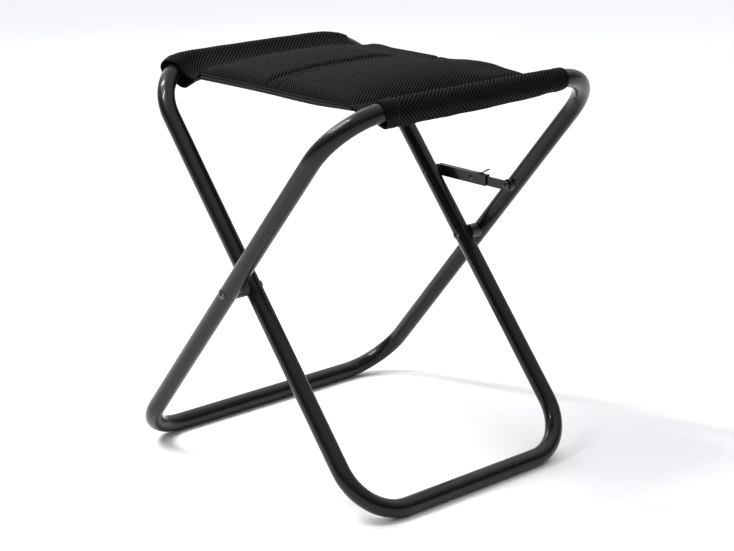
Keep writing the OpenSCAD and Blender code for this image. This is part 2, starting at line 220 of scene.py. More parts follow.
def lay_stitch(points, faces, spot, up):
    """Adds one stitch, a tapered capsule through the points spot, with up out of the cloth."""
    along = spot[-1] - spot[0]
    side = np.cross(along / np.linalg.norm(along), up)
    first, sides = len(points), STITCH_SIDES
    for i, taper in enumerate(STITCH_TAPER):
        for c in range(sides):
            t = 2 * math.pi * c / sides
            round_at = side[i] * math.cos(t) + up[i] * math.sin(t)
            points.append(spot[i] + STITCH_R * taper * round_at)
    last = len(points) - sides
    for ring in range(first, last, sides):
        for c in range(sides):
            a, b = ring + c, ring + (c + 1) % sides
            faces.append((a, b, b + sides, a + sides))
    faces.append([first + c for c in reversed(range(sides))])
    faces.append([last + c for c in range(sides)])


def add_stitches(name, paths, outward, material):
    """Rows of thread, each stitch a small bent capsule that dips into the cloth at its ends."""
    points, faces = [], []
    pitch = STITCH_LONG + STITCH_GAP
    steps = np.linspace(0, 1, len(STITCH_TAPER))
    bow = STITCH_R * (1.5 * np.sin(math.pi * steps) - 0.7)
    for path, normals in zip(paths, outward):
        run = run_along(path)
        count = int(run[-1] // pitch)
        spare = run[-1] - count * pitch
        for k in range(count):
            at = spare / 2 + k * pitch + steps * STITCH_LONG
            spot = np.stack([np.interp(at, run, path[:, i]) for i in range(3)], 1)
            up = np.stack([np.interp(at, run, normals[:, i]) for i in range(3)], 1)
            lay_stitch(points, faces, spot + up * bow[:, None], up)
    return add_mesh(name, np.array(points), faces, material)


def arc_length(grid, axis):
    """Running length of a grid of points along one of its axes, the same shape as the grid."""
    step = np.linalg.norm(np.diff(grid, axis=axis), axis=2)
    lead = np.zeros_like(np.take(step, [0], axis=axis))
    return np.cumsum(np.concatenate([lead, step], axis=axis), axis=axis)


def smooth(x):
    """Smoothstep of x held to 0..1."""
    x = np.clip(x, 0, 1)
    return x * x * (3 - 2 * x)


def rise(x, start, over):
    """0 up to start, then smoothly up to 1 over a further length."""
    return smooth((x - start) / over)


RIPPLE_WAVES = (61.0, 43.0, 29.0, 21.0)
RIPPLE_PEAK = 2.2


def ripple(u, v, seed):
    """A smooth made-up field of about -1..1 over two lengths in millimetres."""
    total = np.zeros(np.broadcast(u, v).shape)
    rng = np.random.default_rng(seed)
    for wave in RIPPLE_WAVES:
        turn, phase = rng.uniform(0, math.pi), rng.uniform(0, 2 * math.pi)
        run = u * math.cos(turn) + v * math.sin(turn)
        total = total + np.sin(2 * math.pi / wave * run + phase) * wave / RIPPLE_WAVES[0]
    return total / RIPPLE_PEAK


# ------------------------------------------------------------------- materials

# A noise node's values lie mostly in this stretch of 0..1
NOISE_LOW = 0.3
NOISE_HIGH = 0.7


class Nodes:
    """A node material with one Principled shader and short calls for building its inputs."""

    def __init__(self, name):
        self.material = bpy.data.materials.new(name)
        self.material.use_nodes = True
        self.tree = self.material.node_tree
        self.shader = self.tree.nodes["Principled BSDF"]

    def add(self, kind, **settings):
        node = self.tree.nodes.new(kind)
        for key, value in settings.items():
            setattr(node, key, value)
        return node

    def link(self, source, target):
        self.tree.links.new(source, target)

    def math(self, operation, a, b=None):
        node = self.add("ShaderNodeMath", operation=operation)
        for slot, value in zip(node.inputs, (a, b)):
            if value is None:
                continue
            if isinstance(value, (int, float)):
                slot.default_value = value
            else:
                self.link(value, slot)
        return node.outputs[0]

    def noise(self, scale, detail=2.0, vector=None):
        node = self.add("ShaderNodeTexNoise")
        node.inputs["Scale"].default_value = scale
        node.inputs["Detail"].default_value = detail
        self.link(vector or self.position(), node.inputs["Vector"])
        return node.outputs["Fac"]

    def position(self):
        return self.add("ShaderNodeTexCoord").outputs["Object"]

    def ramp(self, factor, stops):
        node = self.add("ShaderNodeValToRGB")
        ends = node.color_ramp.elements
        while len(ends) < len(stops):
            ends.new(0.5)
        for stop, (place, colour) in zip(ends, stops):
            stop.position = place
            stop.color = (*colour, 1)
        self.link(factor, node.inputs["Fac"])
        return node.outputs["Color"]

    def range(self, factor, low, high, from_low=0.0, from_high=1.0):
        node = self.add("ShaderNodeMapRange")
        self.link(factor, node.inputs["Value"])
        node.inputs["From Min"].default_value = from_low
        node.inputs["From Max"].default_value = from_high
        node.inputs["To Min"].default_value = low
        node.inputs["To Max"].default_value = high
        return node.outputs["Result"]

    def vary(self, noise, low, high):
        """Spreads a noise's usual values over low..high."""
        return self.range(noise, low, high, NOISE_LOW, NOISE_HIGH)

    def tint(self, noise, dark, light):
        """Colours a noise from dark to light over its usual values."""
        return self.ramp(noise, [(NOISE_LOW, dark), (NOISE_HIGH, light)])

    def bump(self, height, distance, strength=1.0, under=None):
        node = self.add("ShaderNodeBump")
        node.inputs["Strength"].default_value = strength
        node.inputs["Distance"].default_value = distance
        self.link(height, node.inputs["Height"])
        if under is not None:
            self.link(under, node.inputs["Normal"])
        return node.outputs["Normal"]

    def put(self, **inputs):
        """Sets or links the shader's inputs; an underscore stands for a space."""
        for key, value in inputs.items():
            slot = self.shader.inputs[key.replace("_", " ")]
            if isinstance(value, (int, float, tuple)):
                slot.default_value = value
            else:
                self.link(value, slot)
        return self


def grey(value, warm=0.0):
    """A near-neutral linear colour; warm shifts it towards red or, below zero, blue."""
    return (value * (1 + warm), value, value * (1 - warm))


def powder_coat():
    """Semi-gloss black powder coat: a dusting of scuffs, orange peel and a fine grain."""
    n = Nodes("black_powder_coat")
    cloud = n.noise(scale=55.0, detail=3.0)
    peel = n.noise(scale=950.0)
    grain = n.noise(scale=3200.0, detail=1.0)
    scuff = n.noise(scale=240.0, detail=5.0)
    n.put(Base_Color=n.ramp(scuff, [
        (0.0, grey(0.005, 0.12)),
        (0.66, grey(0.0056, 0.12)),
        (0.8, grey(0.011, 0.1)),
    ]))
    n.put(Roughness=n.vary(cloud, 0.3, 0.38))
    fine = n.bump(grain, distance=0.00001, strength=0.2)
    n.put(Normal=n.bump(peel, distance=0.00002, strength=0.3, under=fine))
    n.put(IOR=1.2, Coat_Weight=0.55, Coat_Roughness=0.12, Coat_IOR=1.34)
    return n.material


def satin_rivet():
    """Satin black rivet, mottled with brighter specks."""
    n = Nodes("satin_black_rivet")
    mottled = n.noise(scale=420.0, detail=4.0)
    n.put(Base_Color=n.ramp(mottled, [
        (0.3, grey(0.045)),
        (0.62, grey(0.075)),
        (0.75, grey(0.16, 0.03)),
    ]))
    n.put(Metallic=0.65, Roughness=n.vary(mottled, 0.26, 0.42))
    n.put(Normal=n.bump(n.noise(scale=1500.0), distance=0.00005, strength=0.3))
    return n.material


def bare_steel():
    """Plain steel with drawing marks along the rails."""
    n = Nodes("bare_steel")
    place = n.add("ShaderNodeMapping")
    place.inputs["Scale"].default_value = (1.0, 0.06, 1.0)
    n.link(n.position(), place.inputs["Vector"])
    drawn = n.noise(scale=1400.0, detail=3.0, vector=place.outputs["Vector"])
    n.put(Base_Color=n.tint(drawn, grey(0.42, 0.02), grey(0.6, 0.01)))
    n.put(Metallic=1.0, Roughness=n.vary(drawn, 0.24, 0.4))
    n.put(Normal=n.bump(drawn, distance=0.00003, strength=0.4))
    return n.material


def moulded_plastic():
    """Black plastic with a fine moulded grain."""
    n = Nodes("black_plastic")
    grain = n.noise(scale=1300.0)
    n.put(Base_Color=n.tint(n.noise(scale=160.0), grey(0.012), grey(0.02)))
    n.put(Roughness=n.vary(grain, 0.42, 0.58))
    n.put(Normal=n.bump(grain, distance=0.00008, strength=0.4))
    return n.material


def knit(name, lead, turn_at=None):
    """Spacer mesh: two sets of slanting ribs with a hole in each cell, over fine yarn; painted shade
    darkens the holes.

    The ribs of set lead (0 or 1) stand out; past turn_at across the cloth it is the other set.
    """
    n = Nodes(name)
    uv = n.add("ShaderNodeUVMap", uv_map="weave").outputs["UV"]
    split = n.add("ShaderNodeSeparateXYZ")
    n.link(uv, split.inputs[0])
    warp = n.noise(scale=260.0, detail=1.0, vector=uv)
    sway = n.math("MULTIPLY", n.math("SUBTRACT", warp, 0.5), 0.22)
    across = n.math("ADD", n.math("MULTIPLY", split.outputs[0], 1 / CELL_X), sway)
    along = n.math("MULTIPLY", split.outputs[1], 1 / CELL_Y)
    gaps = []
    for kind in ("ADD", "SUBTRACT"):
        turn = n.math("MULTIPLY", n.math(kind, across, along), 2 * math.pi)
        wave = n.math("MULTIPLY", n.math("COSINE", turn), 0.5)
        gaps.append(n.math("SUBTRACT", 0.5, wave))
    first, second = gaps[lead], gaps[1 - lead]
    if turn_at is not None:
        past = n.range(split.outputs[0], 0.0, 1.0, turn_at - RIB_TURN / 2, turn_at + RIB_TURN / 2)
        swap = n.math("MULTIPLY", past, n.math("SUBTRACT", second, first))
        first, second = n.math("ADD", first, swap), n.math("SUBTRACT", second, swap)
    cut = n.math("ADD", n.math("MULTIPLY", second, 1 - RIB), RIB)
    height = n.math("SUBTRACT", 1.0, n.math("MULTIPLY", first, cut))
    yarn = n.noise(scale=2600.0, vector=uv)
    shade = n.math("ADD", height, n.math("MULTIPLY", n.math("SUBTRACT", yarn, 0.5), 0.18))
    # painted shade: the colour darkens with depth, from the rib tops through the furrows to near
    # black in the holes
    n.put(Base_Color=n.ramp(shade, [
        (0.35, grey(0.0003)),
        (0.6, grey(0.001)),
        (0.8, (0.0054, 0.0059, 0.0049)),
        (0.98, (0.0175, 0.019, 0.0163)),
    ]))
    n.put(Roughness=n.range(height, 0.95, 0.7))
    fuzz = n.bump(yarn, distance=0.00012, strength=0.5)
    n.put(Normal=n.bump(height, distance=0.0011, strength=0.9, under=fuzz))
    n.put(Sheen_Weight=0.012, Sheen_Roughness=0.5, Sheen_Tint=(0.85, 0.9, 0.85, 1.0))
    n.put(Specular_IOR_Level=0.04)
    return n.material


WEAVE_PITCH = 0.0007


def plain_weave(name, dark, light, sheen, warm=0.0):
    """Plain woven polyester; the threads are under a millimetre apart and show only close up."""
    n = Nodes(name)
    spot = n.add("ShaderNodeSeparateXYZ")
    n.link(n.add("ShaderNodeUVMap", uv_map="weave").outputs["UV"], spot.inputs[0])
    threads = []
    for axis in (0, 1):
        turn = n.math("MULTIPLY", spot.outputs[axis], 2 * math.pi / WEAVE_PITCH)
        threads.append(n.math("COSINE", turn))
    height = n.math("MULTIPLY", n.math("MULTIPLY", threads[0], threads[1]), 0.5)
    cloud = n.noise(scale=300.0, detail=4.0)
    n.put(Base_Color=n.tint(cloud, grey(dark, warm), grey(light, warm)))
    n.put(Roughness=n.vary(cloud, 0.62, 0.82))
    loft = n.bump(cloud, distance=0.0004, strength=0.35)
    n.put(Normal=n.bump(height, distance=0.00012, strength=0.5, under=loft))
    n.put(Sheen_Weight=sheen, Sheen_Roughness=0.45, Specular_IOR_Level=0.07)
    return n.material


def thread():
    """Sewing thread, a little glossier than the cloth."""
    n = Nodes("thread")
    ply = n.noise(scale=2200.0)
    n.put(Base_Color=n.tint(ply, grey(0.004), grey(0.009)))
    n.put(Roughness=n.range(ply, 0.42, 0.6), Normal=n.bump(ply, distance=0.0001, strength=0.6))
    n.put(Sheen_Weight=0.05, Sheen_Roughness=0.4, Specular_IOR_Level=0.3)
    return n.material


def pale_floor():
    """Near-white studio floor with a faint cloudiness."""
    n = Nodes("pale_floor")
    cloud = n.noise(scale=1.3, detail=3.0)
    n.put(Base_Color=n.tint(cloud, grey(0.91, 0.003), grey(0.93, 0.003)))
    n.put(Roughness=n.range(n.noise(scale=40.0), 0.72, 0.82))
    return n.material


POWDER = powder_coat()
RIVET = satin_rivet()
STEEL = bare_steel()
PLASTIC = moulded_plastic()
KNIT = {1: knit("spacer_mesh", lead=0), -1: knit("spacer_mesh_left", lead=1)}
CLOTH = plain_weave("plain_cloth", dark=0.001, light=0.002, sheen=0.004)
LINING = plain_weave("lining_cloth", dark=0.006, light=0.01, sheen=0.02)
PIPING = plain_weave("piping_cloth", dark=0.012, light=0.02, sheen=0.02, warm=0.12)
THREAD = thread()


# ----------------------------------------------------------------- seat panels

# The underside of the right panel rises by this much at its near outer corner
LIFT_HIGH = 2.2

# Where the padding is pressed down at the rear: depth, place across the seat and reach
REAR_DROPS = ((10.5, -12, 62), (5.0, -78, 36), (7.0, 108, 20))

# Panel top: its height at the centre seam, how square its shoulder at the sleeve is, four
# times how much fuller it is half way, and how square its dome is towards each edge
BODY_HIGH = 8.8
SHOULDER = {1: 3.4, -1: 5}
BODY_FULL = 18.0
DOME_NEAR = 3.0
DOME_FAR = 2.4

# The edge's upright wall below its roll: how far inside the seat's edge each row is and how
# low, and how far inside it the underside ends
WALL_IN = (0.6, 0.9)
WALL_DROP = (3.0, 6.0)
UNDER_IN = 1.8

# Sewn details of a panel, as height or depth and then width, reach or pitch: the groove under
# the stitches, the channel beside the centre seam, the gathers that the seam pulls in, which
# are strongest at GATHER_X, the puckers along the sleeve's seam, and the padding's unevenness
GROOVE_DEEP, GROOVE_WIDE = 1.5, 1.5
CHANNEL_DEEP, CHANNEL_WIDE = 1.6, 7
GATHER_HIGH, GATHER_PITCH, GATHER_X, GATHER_REACH = 0.45, 23, 12, 16
PUCKER_HIGH, PUCKER_PITCH, PUCKER_REACH = 0.5, 27, 14
UNEVEN_HIGH = 0.35

# Each side reads the made-up fields this far from the other, so that the halves differ
PANEL_SHIFT = 400
SLEEVE_SHIFT = 500

# Rows across a panel, as start, end and count: closer together at both seams. Its knit
# starts this far from the middle of the seat.
PAD_START = 0.05
PAD_END = SEAM_X - 0.1
PAD_ROWS = ((PAD_START, 14, 20), (16, 118, 52), (119.5, PAD_END, 6))
PAD_KNIT_START = 0.4

# Coarse copy of a panel for the swelling: rows, columns, columns held at each end, and frames
PUFF_ROWS = 22
PUFF_COLS = 40
PUFF_HELD = 3
PUFF_FRAMES = 20


def lift(side, x, y):
    """How far the underside rises towards the near end of the right rail."""
    if side < 0:
        return np.zeros(np.broadcast(x, y).shape)
    x, y = np.asarray(x), np.asarray(y)
    return LIFT_HIGH * rise(x, start=35, over=80) * rise(-y, start=60, over=60)


def rear_drop(side, x, y):
    """How far the padding is pressed down towards the rear, nowhere at the sleeve's seam."""
    low = 0
    for depth, place, reach in REAR_DROPS:
        low = low + depth * np.exp(-((side * x - place) / reach) ** 2)
    return low * (1 - (x / SEAM_X) ** 6) * rise(y, start=25, over=80)


def panel_top(side, x, y, crown=1.0):
    """Height of a panel's top, without its edge roll, at x from the middle and y."""
    u = np.clip(x / SEAM_X, 0, 1)
    v = np.clip(np.abs(y) / HALF_Y, 0, 1)
    dome = 1 - v ** np.where(y < 0, DOME_NEAR, DOME_FAR)
    body = BODY_HIGH * (1 - u ** SHOULDER[side]) + BODY_FULL * u * (1 - u)
    return EDGE_Z + dome * body * crown - rear_drop(side, x, y) * dome ** 0.3


def sewn_details(side, x, y, inside):
    """Height that the stitches, gathers, puckers and padding give; inside fades to the edges."""
    groove = np.exp(-((x - SEAM_LINE_X) / GROOVE_WIDE) ** 2)
    z = -GROOVE_DEEP * groove * np.minimum(1, inside * 2)
    z = z - CHANNEL_DEEP * (1 - rise(x, SEAM_LINE_X, CHANNEL_WIDE)) * inside
    near_seam = np.exp(-np.abs(x - GATHER_X) / GATHER_REACH) * (x > SEAM_LINE_X)
    gathers = np.sin(2 * math.pi * y / GATHER_PITCH + 0.9 * np.sin(y / 31) + side)
    z = z + GATHER_HIGH * gathers * near_seam * inside
    near_sleeve = np.exp(-(SEAM_X - x) / PUCKER_REACH)
    puckers = np.sin(2 * math.pi * y / PUCKER_PITCH + 1.3 * side)
    z = z + PUCKER_HIGH * puckers * near_sleeve * inside
    return z + UNEVEN_HIGH * ripple(x, y + PANEL_SHIFT * side, seed=7) * inside


def panel_grids(side, xs, flats, rolls, crown, detail):
    """Top and bottom point grids of one panel, as (rows along x, columns along y)."""
    angles = np.linspace(0, math.pi / 2, rolls + 1)[1:]
    flat = np.linspace(-EDGE_FLAT_Y, EDGE_FLAT_Y, flats)
    out = EDGE_FLAT_Y + EDGE_ROLL * np.sin(angles)
    wall = HALF_Y - np.array(WALL_IN)
    ys = np.concatenate([-wall[::-1], -out[::-1], flat, out, wall])
    foot, roll = np.zeros(len(wall)), np.cos(angles)
    rim = np.concatenate([foot, roll[::-1], np.ones(flats), roll, foot])
    drop = np.zeros(len(ys))
    for at, low in enumerate(reversed(WALL_DROP)):
        drop[[at, -1 - at]] = low
    x, y = np.meshgrid(xs, ys, indexing="ij")
    u = x / SEAM_X
    z = panel_top(side, x, y, crown)
    z = z + ROLL_HIGH * rim[None, :] * (1 - u ** 10) - drop[None, :]
    if detail:
        z = z + sewn_details(side, x, y, rim[None, :] * (1 - rise(u, start=0.93, over=0.07)))
    floor = UNDER_Z + PAD_FLOOR + lift(side, x, y)
    top = np.stack([side * x, y, z], -1)
    low = np.stack([side * x, np.clip(y, -HALF_Y + UNDER_IN, HALF_Y - UNDER_IN), floor], -1)
    return top, low


def set_cloth(rig, pins):
    """Cloth under pressure, without gravity, held where the pins group holds it."""
    cloth = rig.modifiers.new("Cloth", "CLOTH")
    cloth.settings.quality = 6
    cloth.settings.mass = 0.25
    cloth.settings.tension_stiffness = 12
    cloth.settings.compression_stiffness = 12
    cloth.settings.bending_stiffness = 0.6
    cloth.settings.use_pressure = True
    cloth.settings.uniform_pressure_force = 4.0
    cloth.settings.vertex_group_mass = pins.name
    cloth.settings.effector_weights.gravity = 0.0
    cloth.point_cache.frame_start = 1
    cloth.point_cache.frame_end = PUFF_FRAMES


def puff(side):
    """Swells a slack copy of the panel as cloth under pressure and returns how its top moved."""
    xs = np.linspace(PAD_START, PAD_END, PUFF_ROWS)
    top, low = panel_grids(side, xs, PUFF_COLS, PUFF_HELD, CROWN_START, detail=False)
    rows, cols = top.shape[:2]
    rig = add_shell("puff_rig", top, low, KNIT[side], np.zeros((rows, cols, 2)), flip=side < 0)
    pins = rig.vertex_groups.new(name="pins")
    held = [r * cols + c for r in range(rows) for c in range(cols)
            if r in (0, rows - 1) or c < PUFF_HELD or c >= cols - PUFF_HELD]
    held += list(range(rows * cols, 2 * rows * cols))
    pins.add(held, 1.0, "REPLACE")
    set_cloth(rig, pins)
    scene = bpy.context.scene
    for step in range(1, PUFF_FRAMES + 1):
        scene.frame_set(step)
    swollen = rig.evaluated_get(bpy.context.evaluated_depsgraph_get()).to_mesh()
    after = np.empty(len(swollen.vertices) * 3, np.float32)
    swollen.vertices.foreach_get("co", after)
    after = after.reshape(-1, 3)[: rows * cols].reshape(rows, cols, 3) / MM
    move = after - top
    far = np.linalg.norm(move, axis=2, keepdims=True)
    move = move * np.minimum(1, PUFF_CAP / np.maximum(far, 1e-6))
    rig.evaluated_get(bpy.context.evaluated_depsgraph_get()).to_mesh_clear()
    bpy.data.objects.remove(rig)
    scene.frame_set(1)
    return np.abs(top[:, 0, 0]), top[0, :, 1], move


def spread(move, old_rows, old_cols, rows, cols):
    """Carries a field of moves from the coarse panel grid to the fine one."""
    across = np.empty((len(rows), move.shape[1], 3))
    for c in range(move.shape[1]):
        for i in range(3):
            across[:, c, i] = np.interp(rows, old_rows, move[:, c, i])
    out = np.empty((len(rows), len(cols), 3))
    for r in range(len(rows)):
        for i in range(3):
            out[r, :, i] = np.interp(cols, old_cols, across[r, :, i])
    return out


def make_pad(name, side):
    """The padded panel, swollen by the cloth run, and the points of its top."""
    xs = np.concatenate([np.linspace(*stretch) for stretch in PAD_ROWS])
    crown = CROWN_START
    top, low = panel_grids(side, xs, flats=130, rolls=9, crown=crown, detail=True)
    rows, cols, move = puff(side)
    top = top + spread(move, rows, cols, np.abs(top[:, 0, 0]), top[0, :, 1])
    across, along = arc_length(top, 0) + PAD_KNIT_START, arc_length(top, 1) + top[0, 0, 1]
    uv = np.stack([across, along], -1) * MM
    return add_shell("seat_pad_" + name, top, low, KNIT[side], uv, flip=side < 0), top


# --------------------------------------------------------------- rail sleeves

# Points round a section: each tail, over the rail, from there to the slack, and round the slack
TAIL_STEPS = 16
RING_STEPS = 34
JOIN_STEPS = 5
SLACK_STEPS = 16

# How far the middle of the slack underside is inward from the rail's axis
SLACK_IN = 2.0

# Up to this distance from the middle, the sleeve's seam and its line over the rail have the
# same Y. From there to its ends they part, and the seam ends this far past the seat's near edge.
TRUE_Y = 100
SEAM_PAST = 2

# The near end's underside is cut shorter than its top by this much
NEAR_CUT = 4.5

# Wrinkles of the sleeve: all round it, and on its slack underside
CREASE_HIGH = 0.28
SLACK_CREASE_HIGH = 0.5


def tangent(c1, r1, c2, r2):
    """Angle of the outward normal of the tangent from one circle to the next, clockwise."""
    dx, dy = c2[0] - c1[0], c2[1] - c1[1]
    return math.atan2(dy, dx) + math.acos(max(-1, min(1, (r1 - r2) / math.hypot(dx, dy))))


def after_clockwise(angle, limit):
    """The same direction as angle, turned to lie at or below limit."""
    while angle > limit + 1e-9:
        angle -= 2 * math.pi
    while angle <= limit - 2 * math.pi:
        angle += 2 * math.pi
    return angle


def ring_at(side, y):
    """Centre, from the rail axis, and radius of the cloth over the rail.

    The cloth draws in towards the far end, and on the left it is loose at the near end.
    """
    if side > 0:
        return (0.0, 0.0), RING_R[side] - 0.8 * float(rise(y, start=95, over=25))
    loose = float(rise(-y, start=98, over=30))
    tight = float(rise(y, start=60, over=50))
    return (1.9 * loose, 1.6 * loose), RING_R[side] + 2.0 * loose - 0.4 * tight


def valley_at(side, y):
    """Where the upper cloth would dip to between the rail and the seam, from the rail axis."""
    near = float(rise(-y, start=85, over=40))
    if side > 0:
        return (-30.0 + 2.0 * near, -8.5 - 5.0 * near)
    return (-28.0 + 3.0 * near, -8.0 - 9.5 * near)


def droop_at(side, y):
    """How far the loose underside hangs below the rail axis."""
    if side > 0:
        return float(np.interp(y, (-135, -110, 0, 68, 125), (17.5, 18.2, 17.0, 15.8, 13.0)))
    return float(np.interp(y, (-125, -112, -90, 0, 125), (22.5, 20.5, 17.5, 16.0, 14.0)))


def on_circle(centre, radius, angle):
    """The point of a circle at an angle."""
    return np.array(centre) + radius * np.array([math.cos(angle), math.sin(angle)])


def section(side, y, top, low):
    """One sleeve section as (point, normal) rows: seam, over the rail, slack underside, seam."""
    ring, r_ring = ring_at(side, y)
    dip = valley_at(side, y)
    slack = (-SLACK_IN, SLACK_R - droop_at(side, y))
    t1 = tangent(dip, 0, ring, r_ring)
    t2 = after_clockwise(tangent(ring, r_ring, slack, SLACK_R), t1)
    t3 = after_clockwise(tangent(slack, SLACK_R, low, 0), t2)
    rows = []
    top, dip, low = np.array(top), np.array(dip), np.array(low)
    leave = on_circle(ring, r_ring, t1)
    for s in np.linspace(0, 1, TAIL_STEPS, endpoint=False):
        spot = (1 - s) ** 2 * top + 2 * s * (1 - s) * dip + s * s * leave
        run = 2 * (1 - s) * (dip - top) + 2 * s * (leave - dip)
        rows.append((*spot, math.atan2(run[1], run[0]) + math.pi / 2))
    for t in np.linspace(t1, t2, RING_STEPS, endpoint=False):
        rows.append((*on_circle(ring, r_ring, t), t))
    off, on = on_circle(ring, r_ring, t2), on_circle(slack, SLACK_R, t2)
    for s in np.linspace(0, 1, JOIN_STEPS, endpoint=False):
        rows.append((*(off + s * (on - off)), t2))
    for t in np.linspace(t2, t3, SLACK_STEPS, endpoint=False):
        rows.append((*on_circle(slack, SLACK_R, t), t))
    end = on_circle(slack, SLACK_R, t3)
    for s in np.linspace(0, 1, TAIL_STEPS):
        rows.append((*(end + s * (low - end)), t3))
    return np.array(rows)


def rail_at(side, y):
    """Centre and section axes of the rail at length y along it, drawn on the right side."""
    down = abs(y) - STRAIGHT_Y[side]
    if down <= 0:
        return np.array([RAIL_X, y, RAIL_Z]), np.array([1.0, 0, 0]), np.array([0, 0, 1.0])
    leg = np.array([math.sin(LEAN), 0, math.cos(LEAN)])
    flat = np.array([math.cos(LEAN), 0, -math.sin(LEAN)])
    turn = down / BEND_R
    way = 1 if y > 0 else -1
    middle = np.array([RAIL_X, way * STRAIGHT_Y[side], RAIL_Z]) - BEND_R * leg
    out = math.cos(turn) * leg + math.sin(turn) * way * np.array([0, 1.0, 0])
    across = math.sin(LEAN) * out + math.cos(LEAN) * flat
    upward = math.cos(LEAN) * out - math.sin(LEAN) * flat
    return middle + BEND_R * out, across, upward


def sleeve_column(side, y):
    """One section of the sleeve in place, at length y along its rail: points and normals."""
    centre, across, upward = rail_at(side, y)
    near_end, far_end = SLEEVE_ENDS[side]
    rail_marks = (near_end, -TRUE_Y, TRUE_Y, far_end)
    seam_marks = (-HALF_Y - SEAM_PAST, -TRUE_Y, TRUE_Y, HALF_Y)
    seam_y = float(np.interp(y, rail_marks, seam_marks))
    heights = (EDGE_Z, UNDER_Z + float(lift(side, SEAM_X, y)))
    seams = [np.array([SEAM_X, seam_y, z]) for z in heights]
    flat = [((seam - centre) @ across, (seam - centre) @ upward) for seam in seams]
    rows = section(side, y, *flat)
    spots = centre + rows[:, :1] * across + rows[:, 1:2] * upward
    spots[:, 1] += NEAR_CUT * rise(-y, start=105, over=30) * smooth(-rows[:, 1] / 15)
    # the straight tails run to the fixed seam, which a bent end's plane misses
    tails = (slice(None, TAIL_STEPS), slice(-TAIL_STEPS, None))
    shares = (np.linspace(1, 0, TAIL_STEPS, endpoint=False), np.linspace(0, 1, TAIL_STEPS))
    for tail, share, seam, (out, up) in zip(tails, shares, seams, flat):
        spots[tail] += share[:, None] * (seam - (centre + out * across + up * upward))
    return spots, np.cos(rows[:, 2:]) * across + np.sin(rows[:, 2:]) * upward


def sleeve_grid(side, ys, grow=0.0):
    """Wrinkled sleeve surface and its outward normals, one column per y, grown outward."""
    columns = [sleeve_column(side, y) for y in ys]
    points = np.array([spots for spots, _ in columns]).transpose(1, 0, 2)
    normals = np.array([faces for _, faces in columns]).transpose(1, 0, 2)
    run, y = arc_length(points, 0), points[..., 1]
    row = np.linspace(0, 1, len(points))[:, None]
    free = smooth(row / 0.08) * smooth((1 - row) / 0.08)
    crease = CREASE_HIGH * ripple(run, y + SLEEVE_SHIFT * side, seed=11)
    slack = SLACK_CREASE_HIGH * rise(row, start=0.42, over=0.2)
    crease = crease + slack * ripple(run * 0.6, y * 1.2, seed=23)
    return points + normals * ((crease * free)[..., None] + grow), normals


def mirrored(grid, side):
    """Moves a grid drawn on the right side to its own side."""
    out = grid.copy()
    out[..., 0] *= side
    return out


def bend_with(piece):
    """Bakes the piece's placement into its mesh."""
    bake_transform(piece)


def make_sleeve(name, side):
    """The rail sleeve; on the right one the ribs change direction at its outermost line."""
    ys = np.linspace(*SLEEVE_ENDS[side], 100)
    outer, normals = sleeve_grid(side, ys)
    inner = outer - normals * SLEEVE_T[side]
    outer, inner = mirrored(outer, side), mirrored(inner, side)
    run = arc_length(outer, 0)
    along = np.broadcast_to(ys[None, :], run.shape)
    uv = np.stack([run * SLEEVE_KNIT, along], -1) * MM
    fabric = KNIT[side]
    if side > 0:
        middle = len(ys) // 2
        widest = int(np.argmax(outer[:, middle, 0]))
        fabric = knit("spacer_mesh_turned", lead=0, turn_at=float(uv[widest, middle, 0]))
    return add_shell("rail_sleeve_mesh_" + name, outer, inner, fabric, uv, flip=side < 0)


def make_hems(name, side):
    """Plain cloth folded over each end of the sleeve, and its row of stitches."""
    pieces = []
    for way, end, tip in zip((-1, 1), ("front", "rear"), SLEEVE_ENDS[side]):
        wide = HEM_W[side, way]
        lap = (np.linspace(0, 1.2, 4), np.linspace(2.2, wide - 1, 6), [wide - 0.4, wide])
        ys = tip + way * (HEM_PAST - np.concatenate(lap))
        order = np.argsort(ys)
        ys, swell = ys[order], HEM_SWELL[order][None, :, None]
        skin, normals = sleeve_grid(side, ys)
        outer = mirrored(skin + normals * swell, side)
        inner = mirrored(skin - normals * (SLEEVE_T[side] + 0.9 * swell), side)
        run = arc_length(outer, 0)
        uv = np.stack([run, np.broadcast_to(ys[None, :], run.shape)], -1) * MM
        hem = add_shell(f"sleeve_hem_{name}_{end}", outer, inner, CLOTH, uv, flip=side < 0)
        line_y = tip + way * (HEM_PAST - wide + HEM_LINE)
        path, face = sleeve_grid(side, [line_y], HEM_THREAD_UP)
        path, face = mirrored(path[:, 0], side), mirrored(face[:, 0], side)
        pieces += [hem, add_stitches(f"hem_thread_{name}_{end}", [path], [face], THREAD)]
    return pieces


# ------------------------------------------------------- lining, bindings, tape

# Lining: its thickness, how far it ends inside the seat's edges, how much it sags, and the
# height and pitch of the pleats at the centre seam
LINING_THICK = 0.8
LINING_IN = 1.4
SAG_HIGH = 0.35
PLEAT_HIGH = 0.3
PLEAT_PITCH = 17


def make_lining(name, side):
    """Plain cloth under the padding, sagging a little and pleated into the centre seam."""
    xs = np.linspace(0.4, SEAM_X - 0.3, 34)
    ys = np.linspace(-HALF_Y + LINING_IN, HALF_Y - LINING_IN, 64)
    x, y = np.meshgrid(xs, ys, indexing="ij")
    v = np.abs(y) / HALF_Y
    free = smooth((1 - v) / 0.12) * smooth(x / 14) * smooth((SEAM_X - x) / 12)
    sag = SAG_HIGH * ripple(x, y, seed=31) * free
    near_seam = np.exp(-x / 12) * smooth(x / 4)
    pleat = PLEAT_HIGH * np.sin(2 * math.pi * y / PLEAT_PITCH) * near_seam
    low = UNDER_Z + lift(side, x, y) + sag + pleat
    bottom = np.stack([side * x, y, low], -1)
    top = np.stack([side * x, y, low + LINING_THICK], -1)
    uv = np.stack([x, y], -1) * MM
    return add_shell("lining_cloth_" + name, bottom, top, LINING, uv, flip=side > 0)


